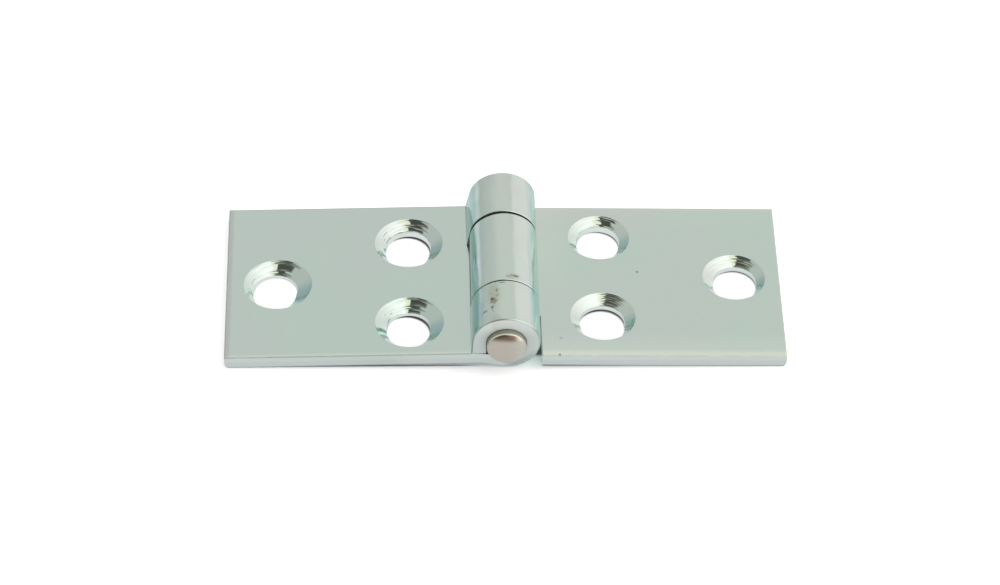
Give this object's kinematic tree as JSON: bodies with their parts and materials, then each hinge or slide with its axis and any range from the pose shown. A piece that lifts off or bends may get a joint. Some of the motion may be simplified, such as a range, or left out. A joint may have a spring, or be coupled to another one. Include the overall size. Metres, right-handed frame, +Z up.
{
  "type": "butt hinge",
  "caption": "Rolled steel butt hinge lying open: flat leaves with countersunk screw holes, curled knuckles interleaved round a plain pin, bright zinc plated.",
  "frame": {"origin": "on the table, under the middle of the pin", "axes": "+X from the left leaf to the right leaf, +Y along the pin away from the viewer, +Z up, towards the barrel and the countersinks"},
  "size_m": [0.08, 0.0332, 0.0097],
  "materials": {
    "zinc_plate": "bright zinc plating with a pale blue-green passivation, rolled sheet",
    "pin_steel": "plain drawn steel pin, slightly tarnished at its ends"
  },
  "bodies": {
    "fixed_leaf": {"left_leaf": "zinc_plate", "hinge_pin": "pin_steel"},
    "swing_leaf": {"right_leaf": "zinc_plate"}
  },
  "joints": [
    {"name": "leaf_swing", "type": "hinge", "parent": "fixed_leaf", "child": "swing_leaf", "pos_m": [0, 0, 0.00485], "axis": [0, -1, 0], "range_deg": [-90, 180]}
  ]
}
